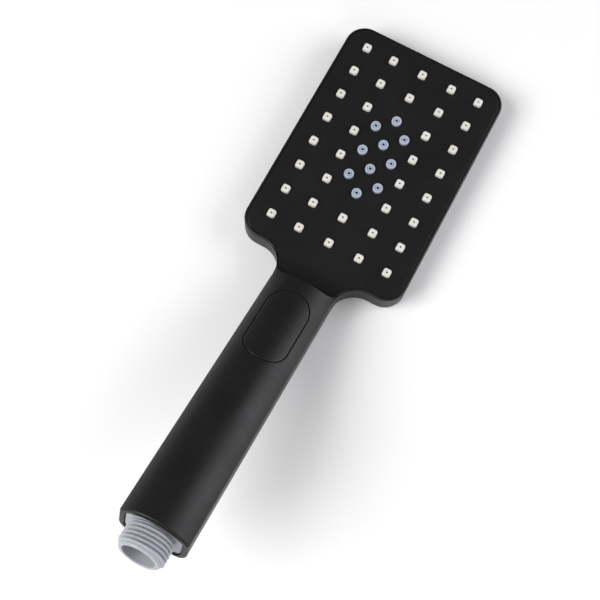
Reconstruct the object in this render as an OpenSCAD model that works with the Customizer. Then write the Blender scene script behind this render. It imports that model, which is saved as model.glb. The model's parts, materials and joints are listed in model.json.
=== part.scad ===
// Handheld shower head: a flat rectangular spray head on a straight handle that rises
// towards the spray side, with a push button that turns a diverter and a G1/2 inlet.
// Frame: +Z is the spray direction, +Y runs towards the head's top edge, X is symmetric.
// The origin is on the flat back, behind the middle of the nozzle field.

/* [Head] */
// Width of the head across X
head_w = 84; // [70:1:104]
// Length of the head from its lower edge to its top edge
head_l = 122; // [100:1:150]
// Thickness of the head from its flat back to the spray face
head_t = 14; // [13.5:0.5:20]
// Corner radius of the head in plan
head_r = 10; // [8:0.5:14]
// Wall of the outer shell, in the head and in the handle
wall = 2.6; // [2.2:0.1:3.2]
// Thickness of the head's back wall
back_wall = 2.4; // [1.6:0.1:2.6]
// Thickness of the spray face
face_t = 2.5; // [2:0.1:3]
// Width of the shell's rim that shows round the spray face
rim_w = 1.2; // [0.9:0.1:1.4]

/* [Nozzles] */
// Distance from the top edge to the first row of nozzles
top_margin = 10.8; // [9:0.1:14]
// Distance from the lower edge to the last row of nozzles
low_margin = 12.9; // [10:0.1:16]
// Distance from the side to the outer column of nozzles
side_margin = 11.6; // [9.5:0.1:14]
// Place of the inner columns, as a share of the outer columns' distance
inner_share = 0.52; // [0.5:0.01:0.6]
// Place of the side jet nozzles, as a share of the inner columns' distance
jet_share = 0.487; // [0.45:0.01:0.52]
// Side of a square rain nozzle
rain_side = 4; // [3.2:0.1:4.4]
// Corner radius of a square rain nozzle
rain_corner = 1; // [0.6:0.1:1.4]
// Radius of a round jet nozzle
jet_r = 2.45; // [1.8:0.05:2.7]
// Height of the nozzles above the spray face
nozzle_h = 1.7; // [1:0.1:2.5]
// Thickness of the silicone sheets
mat_t = 1.2; // [1:0.1:1.6]
// Thickness of the distributor and of the chamber floor
plate_t = 2; // [1.6:0.1:2.4]

/* [Handle] */
// Length of the handle's back, from the bend at the neck to its open end
handle_l = 139; // [120:1:170]
// Width of the handle
handle_w = 30.8; // [29.5:0.1:38]
// Thickness of the handle from its flat back to the crown of its front
handle_t = 24.8; // [24.5:0.1:30]
// Radius of the handle's crowned front
crown_r = 19; // [17.5:0.5:30]
// Corner radius along the handle's back
back_r = 6; // [4:0.5:8]
// Angle between the handle and the spray face
tilt = 20.2; // [14:0.2:24]
// Radius of the fillets between the head and the neck
neck_r = 12.5; // [11:0.5:18]
// Radius of the scoop where the spray face meets the handle
scoop_r = 10; // [8:0.5:12]

/* [Button] */
// Width of the button
button_w = 20.4; // [18:0.1:21.5]
// Length of the button
button_l = 38.4; // [36:0.2:48]
// Corner radius of the button
button_r = 9.2; // [7:0.1:9.3]
// Distance from the bend to the middle of the button
button_u = 35.4; // [35:0.2:46]
// Travel of the button
press = 2; // [1.6:0.1:2.2]
// Thickness of the button's top
button_t = 2; // [1.6:0.1:2.4]

/* [Inlet] */
// Outer radius of the G1/2 thread
thread_r = 10.4775; // [10.3:0.0005:10.7]
// Pitch of the thread
thread_pitch = 1.8143; // [1.7:0.0001:1.9]
// Length of the threaded end outside the handle
thread_l = 11; // [9:0.5:16]
// Radius of the inlet bore
inlet_r = 7.3; // [6.5:0.05:7.4]
// Radius of the water way in the tube
bore_r = 4.5; // [3.5:0.1:5]
// Travel of the check valve's poppet
poppet_lift = 2.5; // [1.5:0.1:2.8]

/* [Fits] */
// Gap round the spray face and round the button
panel_gap = 0.2; // [0.1:0.05:0.3]
// Radial clearance of a turning or sliding fit
run_gap = 0.05; // [0.02:0.01:0.08]
// Clearance between pieces that plug together
plug_gap = 0.1; // [0.05:0.05:0.2]
// Clearance between pieces that must not touch
free_gap = 0.3; // [0.3:0.05:0.5]

/* [Hidden] */
$fn = 96;
far = 400;
eps = 0.01;

// Nozzle field
field_x = head_w / 2 - side_margin;
inner_x = field_x * inner_share;
field_y = (head_l - top_margin - low_margin) / 2;
row_pitch = field_y / 3.5;
jet_x = inner_x * jet_share;
rain_bore = 0.5;
jet_bore = 0.6;
feed_r = 1;
hole_gap = 0.15;
rain_points = concat(
  [for (x = [-field_x, -inner_x, inner_x, field_x]) for (row = [-3.5:1:3.5]) [x, row * row_pitch]],
  [for (row = [-3.5, -2.5, 2.5, 3.5]) [0, row * row_pitch]]
);
jet_points = concat(
  [for (row = [-1.5:1:1.5]) [0, row * row_pitch]],
  [for (x = [-jet_x, jet_x]) for (row = [-1:1:1]) [x, row * row_pitch]]
);

// Clips of the spray face, and the room that they bend in
clip_w = 8;
clip_t = 0.9;
clip_drop = 4;
clip_catch = 1;
clip_foot = 0.5;
clip_room = 0.5;
clip_ys = [-0.62 * field_y, 0, 0.62 * field_y];

// Head levels and outline
top_y = field_y + top_margin;
low_y = -field_y - low_margin;
face_under = head_t - face_t;
mat_under = face_under - mat_t;
dist_under = mat_under - plate_t;
floor_gap = 0.6;
floor_z = back_wall + floor_gap;
floor_top = floor_z + plate_t;
chamber_inset = wall + panel_gap + clip_t + clip_room;
chamber_wall = 1.4;
gasket_t = 0.8;
gasket_inset = 0.3;
side_half = handle_w / 2;
neck_step = 0.05;
neck_half = side_half + neck_step;
bend_y = low_y - neck_r;
ridge_y = bend_y + 5 * neck_step;
scoop_y = ridge_y + scoop_r;
scoop_z = head_t + scoop_r;

// Jet island and its feed channel in the chamber
island_w = 2 * (jet_x + jet_r + 0.8);
island_l = 2 * (1.5 * row_pitch + jet_r + 1.5);
island_r = 6;
channel_in = rain_side / 2 + 0.9 + chamber_wall / 2;
channel_out = inner_x - rain_side / 2 - chamber_wall;
mat_gap = 0.3;

// Chamber screws
cross_w = 0.6;
screw_x = (inner_x + field_x) / 2;
screw_y = 3 * row_pitch;
screw_points = [for (x = [-screw_x, screw_x]) for (y = [-screw_y, screw_y]) [x, y]];
screw_r = 1;
screw_head_r = 2.1;
screw_head_t = 1.2;
boss_r = 2.5;
boss_top = dist_under - floor_gap;
boss_wall = 1.2;
pilot_floor = 0.8;

// Handle section: the crown's centre, and heights above the back
crown_w = handle_t - crown_r;
bar_start = -14;
corner_w = crown_w + sqrt(pow(crown_r, 2) - pow(side_half, 2));
axis_w = handle_t / 2;

// Valve stack, as heights above the handle's back
valve_gap = 0.5;
step_gap = 0.2;
housing_w = wall + valve_gap;
duct_h = 5.2;
duct_w = housing_w + duct_h / 2;
port_h = 3.4;
deck_w = duct_w + port_h / 2 + 1;
rotor_w = deck_w + free_gap;
rotor_t = 1.4;
ramp_low = rotor_w + rotor_t + step_gap;
ramp_high = ramp_low + press;
lug_w = ramp_high + step_gap;
plunger_w = ramp_high + press + free_gap;
plunger_t = 0.8;
cap_w = plunger_w + plunger_t + step_gap;
cap_t = 1.1;
cap_boss_t = 2.7;
chamber_r = 8.5;
lid_ring_in = chamber_r + 0.4;
lid_ring_out = chamber_r + 1.2;
lid_ring_t = 0.5;
drum_r = chamber_r + 1.8;
port_x = 6.1;
port_r = 1.8;
seal_seat = 0.5;
seal_wall = 1;
post_r = 1.5;
stem_r = 2.5;
gland_t = 1.3;
boss_in_cap = 4.6;
flange_r = drum_r + 0.3;
flange_t = 5;
ear_turns = [65, 115, 245, 295];
ear_u = drum_r + 1.4;
ear_r = 2.4;
pilot_r = 0.8;
lid_screw_r = 1.8;
way_half = 3.2;
way_wall = 1.2;
skirt_w = cap_w + cap_t + press + 0.4;
button_boss_drop = 1.6;
spring_seat = handle_t - button_t - 1.2;
spring_r = 5.7;
spring_wire = 0.6;
turn_per_press = 60;
lug_in = 3.3;
lug_out = 4.1;
lug_half = 9;

// Duct between the valve and the chamber, in the YZ plane
duct_u = button_u - drum_r - 6.5;
duct_start = [bend_y - duct_u * cos(tilt) + duct_w * sin(tilt), duct_u * sin(tilt) + duct_w * cos(tilt)];
duct_end = [low_y - 4, (floor_top + dist_under) / 2];
duct_run = duct_end - duct_start;
duct_len = norm(duct_run);
duct_turn = atan2(duct_run[1], duct_run[0]);
duct_half = 10.5;
port_in = 1;
port_out = 9;

// Water tube, as distances from the bend along the handle
tip_u = handle_l + thread_l;
collar_sink = 0.6;
collar_t = 5;
socket_u = button_u + button_l / 2 + 1.2;
socket_l = 13;
spigot_r = 6;
socket_r = spigot_r + plug_gap;
tube_r = 7;
socket_wall = 1.4;
tube_wall = 1.8;
tube_ring_us = [socket_u + 5, socket_u + 9];
shoulder_u = tip_u - 26;
valve_wire = 0.22;
valve_turns = 4.5;
valve_u = shoulder_u + 0.2;
valve_r = inlet_r - plug_gap;
seat_r = 3.6;
seat_t = 2;
guide_t = 2;
sleeve_r = 5.2;
poppet_r = 4.4;
poppet_t = 1.6;
poppet_stem = 1.4;
seal_t = 0.7;
poppet_room = poppet_lift + 2 * valve_wire * (valve_turns + 1) + 0.8;
valve_len = guide_t + poppet_room + poppet_t + seal_t + seat_t;
poppet_face = valve_u + valve_len - seat_t - run_gap;
end_bevel = 0.9;
restrictor_t = 2.4;
restrictor_u = valve_u + valve_len + run_gap;
filter_u = restrictor_u + restrictor_t + run_gap;
filter_t = 1.6;

// ---- Shared shapes -------------------------------------------------------------------

// Rectangle from y0 to y1, centred on X, with round corners
module round_rect(w, y0, y1, r) {
  translate([-w / 2 + r, y0]) square([w - 2 * r, y1 - y0]);
  translate([-w / 2, y0 + r]) square([w, y1 - y0 - 2 * r]);
  for (x = [-w / 2 + r, w / 2 - r]) for (y = [y0 + r, y1 - r]) translate([x, y]) circle(r);
}

// The head without its neck, drawn in from the outside by inset
module head_plan(inset) {
  round_rect(head_w - 2 * inset, low_y + inset, top_y - inset, head_r - inset);
}

// The head with its neck and the fillets beside it, down to neck_y
module neck_plan(inset, neck_y) {
  head_plan(inset);
  difference() {
    translate([-neck_half - neck_r, bend_y]) square([2 * (neck_half + neck_r), neck_r + inset + 1]);
    for (side = [-1, 1])
      translate([side * (neck_half + neck_r), bend_y]) circle(neck_r + inset);
  }
  translate([inset - neck_half, neck_y])
    square([2 * (neck_half - inset), bend_y + inset + 1 - neck_y]);
}

// A drawing in the handle's own frame: origin at the bend, -Y along the handle, +Z to its front
module in_handle() {
  translate([0, bend_y, 0]) rotate([-tilt, 0, 0]) children();
}

// A drawing on the tube's axis: origin at the bend, +Z along the handle towards the inlet
module on_tube_axis() {
  in_handle() translate([0, 0, axis_w]) rotate([90, 0, 0]) children();
}

// A drawing on the duct's line: origin at the valve, +Y along the duct towards the head
module in_duct() {
  translate([0, duct_start[0], duct_start[1]]) rotate([duct_turn, 0, 0]) children();
}

// Cross-section of the handle: flat back with round corners, crowned front
module handle_section(inset) {
  low = inset;
  high = crown_w + sqrt(pow(crown_r - inset, 2) - pow(side_half - inset, 2)) + eps;
  intersection() {
    union() {
      round_rect(handle_w - 2 * inset, low, high, back_r - inset);
      translate([inset - side_half, low + back_r])
        square([handle_w - 2 * inset, handle_t - back_r - inset - low]);
    }
    union() {
      translate([0, crown_w]) circle(crown_r - inset);
      translate([-side_half, 0]) square([handle_w, crown_w]);
    }
  }
}

// Solid bar of the handle's section from u0 to u1
module handle_bar(inset, u0, u1) {
  in_handle() translate([0, -u0, 0]) rotate([90, 0, 0]) linear_extrude(u1 - u0) handle_section(inset);
}

// Everything above the spray face and its scoop, sunk by depth
module above_face(depth) {
  rotate([90, 0, 90]) translate([0, 0, -far / 2]) linear_extrude(far) {
    translate([scoop_y, head_t - depth]) square([far, far]);
    translate([ridge_y - depth, scoop_z]) square([far, far]);
    translate([scoop_y, scoop_z]) circle(scoop_r + depth);
  }
}

// Everything behind the line where the handle's flat sides meet its crown
module below_corner() {
  in_handle() translate([-far / 2, -far / 2, corner_w - far]) cube(far);
}

// The whole outside as one solid body
module outer_body() {
  difference() {
    union() {
      linear_extrude(head_t) neck_plan(0, bend_y);
      intersection() {
        linear_extrude(scoop_z) neck_plan(0, bend_y);
        below_corner();
      }
      intersection() {
        handle_bar(0, bar_start, handle_l);
        translate([-far / 2, -far, 0]) cube([far, far + low_y + 2, far]);
      }
    }
    above_face(0);
  }
}

// The skin that the spray face takes up, drawn in by inset and sunk by depth; the handle's
// crown laps over its upper end
module face_skin(inset, depth) {
  intersection() {
    linear_extrude(scoop_z + far) neck_plan(inset, ridge_y - face_t - 1);
    above_face(depth);
    union() {
      translate([-far / 2, -far / 2, 0]) cube([far, far, head_t + rim_w]);
      handle_bar(inset, -30, handle_l);
    }
  }
}

// Plan of a pill-shaped button, in the handle's frame
module button_plan(grow) {
  translate([0, -button_u])
    round_rect(button_w + 2 * grow, -button_l / 2 - grow, button_l / 2 + grow, button_r + grow);
}

// One ring of round section
module o_ring(r, wire) {
  rotate_extrude() translate([r, 0]) circle(wire);
}

// Helical spring standing on z = 0, with flat closed ends
module coil(r, wire, height, turns) {
  steps = 20;
  sides = 8;
  last = steps * turns;
  rise = height - 2 * wire;
  points = [
    for (i = [0:last]) for (j = [0:sides - 1])
      let (a = 360 * i / steps, b = 360 * j / sides, q = r + wire * cos(b))
        [q * cos(a), q * sin(a), wire + rise * i / last + wire * sin(b)]
  ];
  walls = [
    for (i = [0:last - 1]) for (j = [0:sides - 1])
      let (k = (j + 1) % sides)
        [i * sides + j, i * sides + k, (i + 1) * sides + k, (i + 1) * sides + j]
  ];
  ends = [[for (j = [sides - 1:-1:0]) j], [for (j = [0:sides - 1]) last * sides + j]];
  polyhedron(points, concat(walls, ends), convexity = 8);
}

// Countersunk pan screw, head down to z = 0, shank below
module screw(head_r, head_t, shank_r, length) {
  difference() {
    cylinder(r = head_r, h = head_t);
    translate([0, 0, head_t - cross_w]) linear_extrude(1)
      for (a = [0, 90]) rotate(a) square([4 * cross_w, cross_w], center = true);
  }
  translate([0, 0, -length]) cylinder(r = shank_r, h = length + eps);
}

// ---- Outside -------------------------------------------------------------------------

// Back of the head and handle, one black moulding
module outer_shell() {
  color([0.11, 0.11, 0.12]) {
    difference() {
      outer_body();
      face_skin(rim_w, face_t);
      translate([0, 0, back_wall]) linear_extrude(far) head_plan(wall);
      intersection() {
        handle_bar(wall, -30, handle_l + 1);
        translate([-far / 2, -far, back_wall]) cube([far, far + low_y + wall + 1, far]);
      }
      translate([wall + 2 * neck_step - side_half, bend_y, back_wall])
        cube([2 * (side_half - wall - 2 * neck_step), neck_r + wall + 1, far]);
      in_handle() translate([0, 0, axis_w]) linear_extrude(far) button_plan(panel_gap);
      clip_slots();
    }
    for (p = screw_points) translate([p[0], p[1], back_wall - eps]) difference() {
      cylinder(r = boss_r, h = boss_top - back_wall + eps);
      translate([0, 0, pilot_floor]) cylinder(r = screw_r + run_gap, h = boss_top);
    }
  }
}

// Recesses in the shell's side walls for the spray face's clips
module clip_slots() {
  for (side = [-1, 1]) for (y = clip_ys)
    translate([side * (head_w / 2 - wall + clip_catch / 2), y, face_under - clip_drop + clip_catch / 2])
      cube([clip_catch + 2 * panel_gap, clip_w + 2 * free_gap, clip_catch + 2 * panel_gap], center = true);
}

// Front plate with a hole for every nozzle, curved up where it meets the handle
module spray_face() {
  color([0.12, 0.12, 0.13]) {
    difference() {
      intersection() {
        outer_body();
        face_skin(rim_w + panel_gap, face_t - panel_gap);
      }
      linear_extrude(scoop_z) {
        for (p = rain_points) translate(p) rain_square(rain_side + 2 * hole_gap, rain_corner + hole_gap);
        for (p = jet_points) translate(p) circle(jet_r + hole_gap);
      }
    }
    for (side = [-1, 1]) for (y = clip_ys) face_clip(side, y);
  }
}

// Springy leg with a catch, on one long side of the spray face
module face_clip(side, y) {
  leg_x = head_w / 2 - wall - panel_gap - clip_t / 2;
  translate([side * leg_x, y, face_under - clip_drop / 2 + clip_foot])
    cube([clip_t, clip_w, clip_drop + 2 * clip_foot], center = true);
  translate([side * (leg_x + clip_catch / 2), y, face_under - clip_drop + clip_catch / 2])
    cube([clip_catch, clip_w, clip_catch], center = true);
}

// Rounded square of one rain nozzle
module rain_square(side, r) {
  round_rect(side, -side / 2, side / 2, r);
}

// ---- Spray chamber -------------------------------------------------------------------

// White silicone sheet with the square rain nozzles
module rain_nozzle_mat() {
  color([0.86, 0.85, 0.83]) {
    translate([0, 0, mat_under]) linear_extrude(mat_t) difference() {
      head_plan(chamber_inset);
      island_plan(mat_gap);
      for (p = rain_points) translate(p) circle(rain_bore);
      for (p = screw_points) translate(p) circle(screw_head_r + free_gap);
    }
    translate([0, 0, face_under - eps]) linear_extrude(face_t + nozzle_h + eps)
      for (p = rain_points) translate(p) difference() {
        rain_square(rain_side, rain_corner);
        circle(rain_bore);
      }
  }
}

// Plan of the jet nozzles' island
module island_plan(grow) {
  round_rect(island_w + 2 * grow, -island_l / 2 - grow, island_l / 2 + grow, island_r + grow);
}

// Blue-grey silicone sheet with the round jet nozzles
module jet_nozzle_mat() {
  color([0.6, 0.63, 0.7]) {
    translate([0, 0, mat_under]) linear_extrude(mat_t) difference() {
      island_plan(0);
      for (p = jet_points) translate(p) circle(jet_bore);
    }
    for (p = jet_points) translate([p[0], p[1], face_under - eps]) difference() {
      cylinder(r = jet_r, h = face_t + nozzle_h - 0.2 + eps);
      translate([0, 0, -1]) cylinder(r = jet_bore, h = face_t + nozzle_h + 2);
      translate([0, 0, face_t + nozzle_h - 0.7]) difference() {
        cylinder(r = jet_r - 0.45, h = 1);
        translate([0, 0, -1]) cylinder(r = jet_r - 1.15, h = 3);
      }
    }
  }
}

// Plan of the jet water: the island and the channel that feeds it
module jet_water_plan(grow) {
  island_plan(grow - chamber_wall);
  translate([channel_in - grow, duct_end[0] + 3])
    square([channel_out - channel_in + 2 * grow, -duct_end[0] - 3]);
  translate([port_in - grow, duct_end[0] - 1])
    square([channel_out - port_in + 2 * grow, 5 + grow]);
}

// Plan of the rain water, round the island and beside the channel
module rain_water_plan() {
  difference() {
    union() {
      head_plan(chamber_inset + chamber_wall);
      translate([-port_out, duct_end[0] - 1]) square([port_out - port_in, -duct_end[0]]);
    }
    jet_water_plan(chamber_wall);
    for (p = screw_points) translate(p) circle(boss_r + free_gap + boss_wall);
  }
}

// Outline of the chamber pieces, with the neck end that the duct meets
module chamber_plan() {
  head_plan(chamber_inset);
  translate([-duct_half, duct_end[0] - 2]) square([2 * duct_half, neck_r]);
}

// Space for the duct's seal at the chamber's neck end
module duct_face_cut() {
  in_duct() translate([-far / 2, -far, -far / 2]) cube([far, far + duct_len, far]);
}

// Plate behind the nozzles with the chamber walls on its back
module distributor_plate() {
  color([0.62, 0.64, 0.66]) difference() {
    translate([0, 0, floor_top]) linear_extrude(mat_under - floor_top) chamber_plan();
    translate([0, 0, floor_top - 1]) linear_extrude(dist_under - floor_top + 1) {
      rain_water_plan();
      difference() {
        jet_water_plan(0);
        for (p = screw_points) translate(p) circle(boss_r + free_gap + boss_wall);
      }
    }
    linear_extrude(head_t) for (p = concat(rain_points, jet_points)) translate(p) circle(feed_r);
    for (p = screw_points) translate(p) {
      cylinder(r = boss_r + free_gap, h = boss_top + free_gap);
      cylinder(r = screw_r + free_gap, h = head_t);
      translate([0, 0, mat_under - screw_head_t]) cylinder(r = screw_head_r + panel_gap, h = head_t);
    }
    duct_face_cut();
  }
}

// Back of the water chamber, with a groove for its gasket
module chamber_floor() {
  color([0.62, 0.64, 0.66]) difference() {
    translate([0, 0, floor_z]) linear_extrude(plate_t) chamber_plan();
    translate([0, 0, floor_top - gasket_t]) linear_extrude(gasket_t + 1) gasket_plan();
    for (p = screw_points) translate(p) cylinder(r = boss_r + free_gap, h = head_t);
    duct_face_cut();
  }
}

// Ring that the chamber gasket follows, under the chamber's outer wall
module gasket_plan() {
  difference() {
    head_plan(chamber_inset + gasket_inset);
    head_plan(chamber_inset + chamber_wall - gasket_inset);
    translate([-duct_half, low_y]) square([2 * duct_half, 2 * chamber_inset]);
  }
}

// Rubber gasket between the chamber floor and the distributor's wall
module chamber_gasket() {
  color([0.08, 0.08, 0.08]) translate([0, 0, floor_top - gasket_t]) linear_extrude(gasket_t) gasket_plan();
}

// Four screws that hold the chamber to the shell's bosses
module chamber_screws() {
  color([0.75, 0.75, 0.77]) for (p = screw_points)
    translate([p[0], p[1], mat_under - screw_head_t]) screw(screw_head_r, screw_head_t, screw_r, 5);
}

// ---- Neck duct -----------------------------------------------------------------------

// Two rectangular water ways side by side, between y0 and y1 on the duct's line
module duct_ways(y0, y1) {
  for (side = [-1, 1]) translate([side * (port_in + port_out) / 2, (y0 + y1) / 2, 0])
    cube([port_out - port_in, y1 - y0, port_h], center = true);
}

// Twin duct from the valve to the spray chamber
module neck_duct() {
  color([0.62, 0.64, 0.66]) in_duct() difference() {
    translate([-duct_half, gasket_t, -duct_h / 2]) cube([2 * duct_half, duct_len - 2 * gasket_t, duct_h]);
    duct_ways(0, duct_len);
  }
}

// Flat rubber seals at the duct's two ends
module duct_gaskets() {
  color([0.08, 0.08, 0.08]) in_duct() for (y = [0, duct_len - gasket_t]) difference() {
    translate([-duct_half, y, -duct_h / 2]) cube([2 * duct_half, gasket_t, duct_h]);
    duct_ways(y - 1, y + gasket_t + 1);
  }
}

// ---- Diverter valve ------------------------------------------------------------------

// A drawing on the button's axis: origin on the handle's back, +Z towards the front
module on_button_axis() {
  in_handle() translate([0, -button_u, 0]) children();
}

// Plan of the flange where the valve's lid is screwed down
module flange_plan() {
  circle(flange_r);
  for (a = ear_turns) rotate(a) translate([ear_u, 0]) circle(ear_r);
}

// Body that holds the rotor and joins the tube to the duct
module valve_housing() {
  color([0.62, 0.64, 0.66]) difference() {
    union() {
      on_button_axis() {
        translate([0, 0, housing_w]) cylinder(r = drum_r, h = cap_w - housing_w - 1);
        translate([0, 0, cap_w - flange_t]) linear_extrude(flange_t) flange_plan();
        translate([-way_half - way_wall, button_u - socket_u - 1, deck_w])
          cube([2 * (way_half + way_wall), socket_u - button_u - chamber_r, cap_w - deck_w]);
        translate([-duct_half, 0, housing_w]) cube([2 * duct_half, button_u - duct_u + 1, duct_h]);
      }
      on_tube_axis() translate([0, 0, socket_u]) cylinder(r = socket_r + socket_wall, h = socket_l);
    }
    on_button_axis() {
      difference() {
        translate([0, 0, deck_w]) cylinder(r = chamber_r, h = far);
        translate([0, 0, deck_w - 1]) cylinder(r = post_r, h = ramp_high - deck_w + 0.6);
      }
      for (side = [-1, 1]) {
        translate([side * port_x, 0, duct_w]) cylinder(r = port_r, h = deck_w);
        translate([side * port_x, 0, deck_w - seal_seat]) cylinder(r = port_r + seal_wall + plug_gap, h = 5);
      }
      for (a = ear_turns) rotate(a) translate([ear_u, 0, cap_w - 4]) cylinder(r = pilot_r, h = 5);
      translate([-way_half, button_u - socket_u - 2, deck_w + way_wall])
        cube([2 * way_half, socket_u - button_u, cap_w - deck_w - 2 * way_wall]);
      for (side = [-1, 1]) translate([side * (port_in + port_out) / 2, (button_u - duct_u) / 2, duct_w])
        cube([port_out - port_in, button_u - duct_u + 5, port_h], center = true);
    }
    on_tube_axis() translate([0, 0, socket_u + 1.5]) cylinder(r = socket_r, h = socket_l);
    in_duct() translate([-far / 2, 0, -duct_h]) cube([far, far, 2 * duct_h]);
  }
}

// Rubber rings that seal the two ports against the rotor
module port_seals() {
  color([0.08, 0.08, 0.08]) on_button_axis() for (side = [-1, 1])
    translate([side * port_x, 0, deck_w - seal_seat]) difference() {
      cylinder(r = port_r + seal_wall, h = rotor_w - deck_w + seal_seat - run_gap);
      translate([0, 0, -1]) cylinder(r = port_r, h = 5);
    }
}

// One helical ramp on the rotor, from its low end up to the plateau
module rotor_ramp() {
  steps = 12;
  points = [
    for (i = [0:steps + 1]) let (
      a = i > steps ? lug_half + 4 : lug_half - turn_per_press * (1 - i / steps),
      top = i > steps ? ramp_high : ramp_low + press * i / steps
    ) for (p = [[lug_in, rotor_w + 0.5], [lug_out, rotor_w + 0.5], [lug_out, top], [lug_in, top]])
      [p[0] * cos(a), p[0] * sin(a), p[1]]
  ];
  walls = [
    for (i = [0:steps]) for (j = [0:3]) let (k = (j + 1) % 4)
      [4 * i + j, 4 * i + k, 4 * (i + 1) + k, 4 * (i + 1) + j]
  ];
  last = 4 * (steps + 1);
  polyhedron(points, concat(walls, [[3, 2, 1, 0], [last, last + 1, last + 2, last + 3]]), convexity = 4);
}

// Port disc that each press of the button turns
module diverter_rotor() {
  color([0.9, 0.9, 0.88]) on_button_axis() {
    difference() {
      union() {
        translate([0, 0, rotor_w]) cylinder(r = chamber_r - 0.4, h = rotor_t);
        translate([0, 0, rotor_w]) cylinder(r = lug_in - 0.3, h = ramp_high - rotor_w - step_gap);
      }
      translate([0, 0, deck_w]) cylinder(r = post_r + run_gap, h = 20);
      for (a = [120, 180, 240, 300]) rotate(a) translate([port_x, 0, deck_w]) cylinder(r = port_r, h = 20);
    }
    for (a = [0, 120, 240]) rotate(a) rotor_ramp();
  }
}

// Lid of the valve, with the gland that the button's stem slides in
module valve_cap() {
  color([0.55, 0.57, 0.6]) on_button_axis() difference() {
    union() {
      translate([0, 0, cap_w]) linear_extrude(cap_t) flange_plan();
      translate([0, 0, cap_w]) cylinder(r = boss_in_cap, h = cap_boss_t);
    }
    translate([0, 0, cap_w - 1]) cylinder(r = stem_r + run_gap, h = 10);
    translate([0, 0, cap_w + gland_t / 2 - 0.05]) cylinder(r = stem_r + gland_t, h = gland_t);
    for (a = ear_turns) rotate(a) translate([ear_u, 0, cap_w - 1]) cylinder(r = pilot_r + 0.1, h = 5);
    difference() {
      translate([0, 0, cap_w - 1]) cylinder(r = lid_ring_out, h = 1 + lid_ring_t);
      translate([0, 0, cap_w - 2]) cylinder(r = lid_ring_in, h = 4);
    }
  }
}

// Rubber ring between the valve's lid and its body
module valve_cap_seal() {
  color([0.08, 0.08, 0.08]) on_button_axis() translate([0, 0, cap_w]) difference() {
    cylinder(r = lid_ring_out, h = lid_ring_t);
    translate([0, 0, -1]) cylinder(r = lid_ring_in, h = 4);
  }
}

// Four screws that hold the valve's lid down
module valve_cap_screws() {
  color([0.75, 0.75, 0.77]) on_button_axis() for (a = ear_turns) rotate(a)
    translate([ear_u, 0, cap_w + cap_t]) screw(lid_screw_r, cap_t, pilot_r - run_gap, 4);
}

// Ring that seals the button's stem
module stem_o_ring() {
  color([0.08, 0.08, 0.08]) on_button_axis() translate([0, 0, cap_w + gland_t - 0.05]) o_ring(stem_r + gland_t / 2, 0.6);
}

// ---- Button --------------------------------------------------------------------------

// Plunger under the button, with the three lugs that drive the rotor
module button_plunger() {
  color([0.9, 0.9, 0.88]) on_button_axis() {
    translate([0, 0, plunger_w]) cylinder(r = lug_out + 0.3, h = plunger_t);
    translate([0, 0, plunger_w]) cylinder(r = stem_r, h = handle_t - button_t - 0.8 - plunger_w);
    for (a = [0, 120, 240]) rotate(a) intersection() {
      translate([0, 0, lug_w]) difference() {
        cylinder(r = lug_out, h = plunger_w - lug_w + 0.4);
        translate([0, 0, -1]) cylinder(r = lug_in, h = 20);
      }
      translate([0, 0, lug_w]) linear_extrude(20)
        polygon([[0, 0], [9, -9 * tan(lug_half)], [9, 9 * tan(lug_half)]]);
    }
  }
}

// Spring that returns the button
module return_spring() {
  color([0.7, 0.7, 0.72]) on_button_axis() translate([0, 0, cap_w + cap_t])
    coil(spring_r, spring_wire / 2, spring_seat - cap_w - cap_t, 3.5);
}

// Black button, flush with the handle's crowned front
module button_cap() {
  color([0.11, 0.11, 0.12]) {
    difference() {
      intersection() {
        handle_bar(0, 0, handle_l);
        in_handle() translate([0, 0, skirt_w]) linear_extrude(far) button_plan(0);
      }
      intersection() {
        handle_bar(button_t, 0, handle_l);
        in_handle() linear_extrude(far) button_plan(-1.5);
      }
    }
    on_button_axis() intersection() {
      difference() {
        union() {
          translate([0, 0, spring_seat]) cylinder(r = spring_r + 0.8, h = 5);
          translate([0, 0, skirt_w + button_boss_drop]) cylinder(r = stem_r + 1.5, h = handle_t);
        }
        translate([0, 0, skirt_w]) cylinder(r = stem_r + run_gap, h = handle_t - button_t - 0.7 - skirt_w);
      }
      translate([0, button_u, 0]) rotate([90, 0, 0]) linear_extrude(handle_l) handle_section(1);
    }
    on_button_axis() for (side = [-1, 1]) button_hook(side);
  }
}

// Catch under the shell at one end of the button
module button_hook(side) {
  hook_top = crown_w + sqrt(pow(crown_r - wall, 2) - 9) - panel_gap;
  translate([-3, side * (button_l / 2 - 0.8) - 0.8, skirt_w]) cube([6, 1.6, hook_top - skirt_w]);
  translate([-3, side * (button_l / 2 + 0.2) - 1, hook_top - 1.2]) cube([6, 2, 1.2]);
}

// ---- Inlet ---------------------------------------------------------------------------

// Profile of the threaded end: rings at the thread's pitch between a chamfer and an undercut
module thread_profile() {
  crest = 0.18 * thread_pitch;
  root_r = thread_r - 0.64 * thread_pitch;
  count = floor((thread_l - 2 * end_bevel + 0.2) / thread_pitch);
  first = tip_u - end_bevel - count * thread_pitch;
  translate([0, handle_l]) square([root_r, thread_l - end_bevel]);
  for (i = [0:count - 1]) let (z = first + i * thread_pitch)
    polygon([
      [root_r - 0.5, z], [root_r, z],
      [thread_r, z + (thread_pitch - crest) / 2], [thread_r, z + (thread_pitch + crest) / 2],
      [root_r, z + thread_pitch], [root_r - 0.5, z + thread_pitch]
    ]);
  polygon([
    [0, tip_u - 1], [root_r, tip_u - 1], [root_r, tip_u - end_bevel], [root_r - end_bevel / 2, tip_u], [0, tip_u]
  ]);
}

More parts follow.
